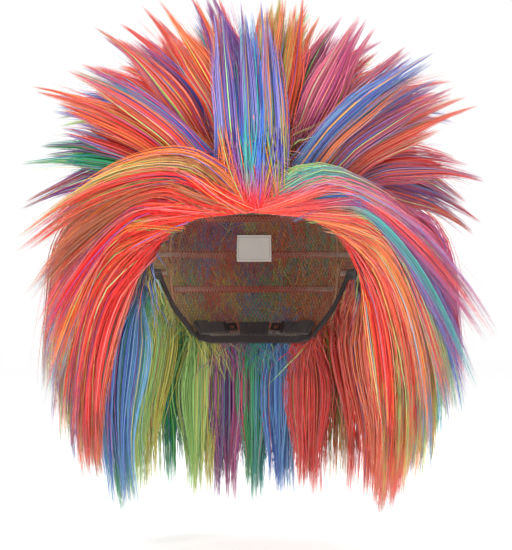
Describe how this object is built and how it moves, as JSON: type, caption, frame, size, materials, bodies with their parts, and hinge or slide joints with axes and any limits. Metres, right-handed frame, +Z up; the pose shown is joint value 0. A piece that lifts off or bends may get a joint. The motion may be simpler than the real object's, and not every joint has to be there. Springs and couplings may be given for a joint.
{
  "type": "costume wig",
  "caption": "Spiky multicoloured costume wig: wefts of hair locks on a net cap with ear tabs, nape adjuster straps, hooks and loops.",
  "frame": {"origin": "centre of the crown patch's flat underside, where the top of a head or wig stand touches the cap", "axes": "+Z up out of the crown, -Y towards the wearer's face side, +X towards the wearer's left ear"},
  "size_m": [0.341, 0.2794, 0.378],
  "materials": {
    "hook_plastic": "moulded",
    "elastic_band": "ribbed elastic",
    "cap_net": "knitted net",
    "label_tape": "blank woven label",
    "lining": "smooth lining",
    "hair_back_lower": "glossy synthetic fibre",
    "hair_back_middle": "glossy synthetic fibre",
    "hair_back_upper": "glossy synthetic fibre",
    "hair_corner_lower": "glossy synthetic fibre",
    "hair_corner_middle": "glossy synthetic fibre",
    "hair_corner_upper": "glossy synthetic fibre",
    "hair_crown_back": "glossy synthetic fibre",
    "hair_crown_middle": "glossy synthetic fibre",
    "hair_crown_outer": "glossy synthetic fibre",
    "hair_crown_top": "glossy synthetic fibre",
    "hair_forelock": "glossy synthetic fibre",
    "hair_front_left": "glossy synthetic fibre",
    "hair_front_right": "glossy synthetic fibre",
    "hair_nape": "glossy synthetic fibre",
    "hair_second_left": "glossy synthetic fibre",
    "hair_second_right": "glossy synthetic fibre",
    "hair_side_lower": "glossy synthetic fibre",
    "hair_side_middle": "glossy synthetic fibre",
    "hair_side_upper": "glossy synthetic fibre",
    "weft_tape": "sewn tape"
  },
  "bodies": {
    "cap": {"back_net": "cap_net", "care_label": "label_tape", "crown_net": "cap_net", "crown_patch": "lining", "front_band": "elastic_band", "front_net": "cap_net", "hair_corner_lower_left": "hair_corner_lower", "hair_corner_lower_right": "hair_corner_lower", "hair_corner_middle_left": "hair_corner_middle", "hair_corner_middle_right": "hair_corner_middle", "hair_corner_upper_left": "hair_corner_upper", "hair_corner_upper_right": "hair_corner_upper", "hair_crown_back": "hair_crown_back", "hair_crown_middle": "hair_crown_middle", "hair_crown_outer": "hair_crown_outer", "hair_crown_top": "hair_crown_top", "hair_front_left": "hair_front_left", "hair_front_right": "hair_front_right", "hair_second_left": "hair_second_left", "hair_second_right": "hair_second_right", "hook_ladder": "elastic_band", "nape_band": "elastic_band", "side_band_left": "elastic_band", "side_band_right": "elastic_band", "side_net_left": "cap_net", "side_net_right": "cap_net", "strap_casing_left": "elastic_band", "strap_casing_right": "elastic_band", "track_crown_back": "weft_tape", "track_crown_middle": "weft_tape", "track_crown_outer": "weft_tape", "track_crown_top": "weft_tape", "track_ear_left": "weft_tape", "track_ear_right": "weft_tape", "track_hairline": "weft_tape", "track_lower": "weft_tape", "track_middle": "weft_tape", "track_nape": "weft_tape", "track_second": "weft_tape", "track_upper": "weft_tape"},
    "back_upper": {"hair_back_upper": "hair_back_upper"},
    "back_middle": {"hair_back_middle": "hair_back_middle"},
    "back_lower": {"hair_back_lower": "hair_back_lower"},
    "nape": {"hair_nape": "hair_nape"},
    "side_upper_left": {"hair_side_upper_left": "hair_side_upper"},
    "side_middle_left": {"hair_side_middle_left": "hair_side_middle"},
    "side_lower_left": {"hair_side_lower_left": "hair_side_lower"},
    "side_upper_right": {"hair_side_upper_right": "hair_side_upper"},
    "side_middle_right": {"hair_side_middle_right": "hair_side_middle"},
    "side_lower_right": {"hair_side_lower_right": "hair_side_lower"},
    "forelock": {"hair_forelock": "hair_forelock"},
    "ear_tab_left": {"ear_tab_left": "elastic_band"},
    "strap_left": {"adjuster_strap_left": "elastic_band"},
    "hook_left": {"adjuster_hook_left": "hook_plastic"},
    "ear_tab_right": {"ear_tab_right": "elastic_band"},
    "strap_right": {"adjuster_strap_right": "elastic_band"},
    "hook_right": {"adjuster_hook_right": "hook_plastic"}
  },
  "joints": [
    {"name": "back_upper_lift", "type": "hinge", "parent": "cap", "child": "back_upper", "pos_m": [0, 0.09201, -0.0631], "axis": [1, 0, 0], "range_deg": [0, 25]},
    {"name": "back_middle_lift", "type": "hinge", "parent": "cap", "child": "back_middle", "pos_m": [0, 0.09624, -0.09051], "axis": [1, 0, 0], "range_deg": [0, 25]},
    {"name": "back_lower_lift", "type": "hinge", "parent": "cap", "child": "back_lower", "pos_m": [0, 0.09429, -0.11819], "axis": [1, 0, 0], "range_deg": [0, 25]},
    {"name": "nape_lift", "type": "hinge", "parent": "cap", "child": "nape", "pos_m": [0, 0.08271, -0.14248], "axis": [1, 0, 0], "range_deg": [0, 25]},
    {"name": "side_upper_left_lift", "type": "hinge", "parent": "cap", "child": "side_upper_left", "pos_m": [0.07545, 0.01314, -0.05898], "axis": [0, -1, 0], "range_deg": [0, 25]},
    {"name": "side_middle_left_lift", "type": "hinge", "parent": "cap", "child": "side_middle_left", "pos_m": [0.0805, 0.00873, -0.08686], "axis": [0, -1, 0], "range_deg": [0, 25]},
    {"name": "side_lower_left_lift", "type": "hinge", "parent": "cap", "child": "side_lower_left", "pos_m": [0.07667, 0.03087, -0.1047], "axis": [0, -1, 0], "range_deg": [0, 25]},
    {"name": "side_upper_right_lift", "type": "hinge", "parent": "cap", "child": "side_upper_right", "pos_m": [-0.07545, 0.01314, -0.05898], "axis": [0, 1, 0], "range_deg": [0, 25]},
    {"name": "side_middle_right_lift", "type": "hinge", "parent": "cap", "child": "side_middle_right", "pos_m": [-0.0805, 0.00873, -0.08686], "axis": [0, 1, 0], "range_deg": [0, 25]},
    {"name": "side_lower_right_lift", "type": "hinge", "parent": "cap", "child": "side_lower_right", "pos_m": [-0.07667, 0.03087, -0.1047], "axis": [0, 1, 0], "range_deg": [0, 25]},
    {"name": "forelock_sway", "type": "hinge", "parent": "cap", "child": "forelock", "pos_m": [0, -0.08173, -0.03348], "axis": [1, 0, 0], "range_deg": [0, 20]},
    {"name": "ear_tab_left_flex", "type": "hinge", "parent": "cap", "child": "ear_tab_left", "pos_m": [0.07573, -0.01808, -0.09193], "axis": [-0.1486, -0.949, 0.2782], "range_deg": [-12, 2]},
    {"name": "strap_left_slide", "type": "hinge", "parent": "cap", "child": "strap_left", "pos_m": [0, 0.03079, -0.1455], "axis": [0, 0, 1], "range_deg": [-4, 12]},
    {"name": "hook_left_swing", "type": "hinge", "parent": "strap_left", "child": "hook_left", "pos_m": [0.02142, 0.07648, -0.14388], "axis": [0.2224, 0.4561, 0.8617], "range_deg": [0, 60]},
    {"name": "ear_tab_right_flex", "type": "hinge", "parent": "cap", "child": "ear_tab_right", "pos_m": [-0.07573, -0.01808, -0.09193], "axis": [-0.1486, 0.949, -0.2782], "range_deg": [-12, 2]},
    {"name": "strap_right_slide", "type": "hinge", "parent": "cap", "child": "strap_right", "pos_m": [0, 0.03079, -0.1455], "axis": [0, 0, -1], "range_deg": [-4, 12]},
    {"name": "hook_right_swing", "type": "hinge", "parent": "strap_right", "child": "hook_right", "pos_m": [-0.02142, 0.07648, -0.14388], "axis": [0.2224, -0.4561, -0.8617], "range_deg": [0, 60]}
  ],
  "couplings": [
    {"joint": "back_upper_lift", "follows": "back_middle_lift", "ratio": 1},
    {"joint": "back_lower_lift", "follows": "back_middle_lift", "ratio": 1},
    {"joint": "nape_lift", "follows": "back_middle_lift", "ratio": 1},
    {"joint": "side_upper_left_lift", "follows": "side_middle_left_lift", "ratio": 1},
    {"joint": "side_lower_left_lift", "follows": "side_middle_left_lift", "ratio": 1},
    {"joint": "side_upper_right_lift", "follows": "side_middle_right_lift", "ratio": 1},
    {"joint": "side_lower_right_lift", "follows": "side_middle_right_lift", "ratio": 1}
  ]
}
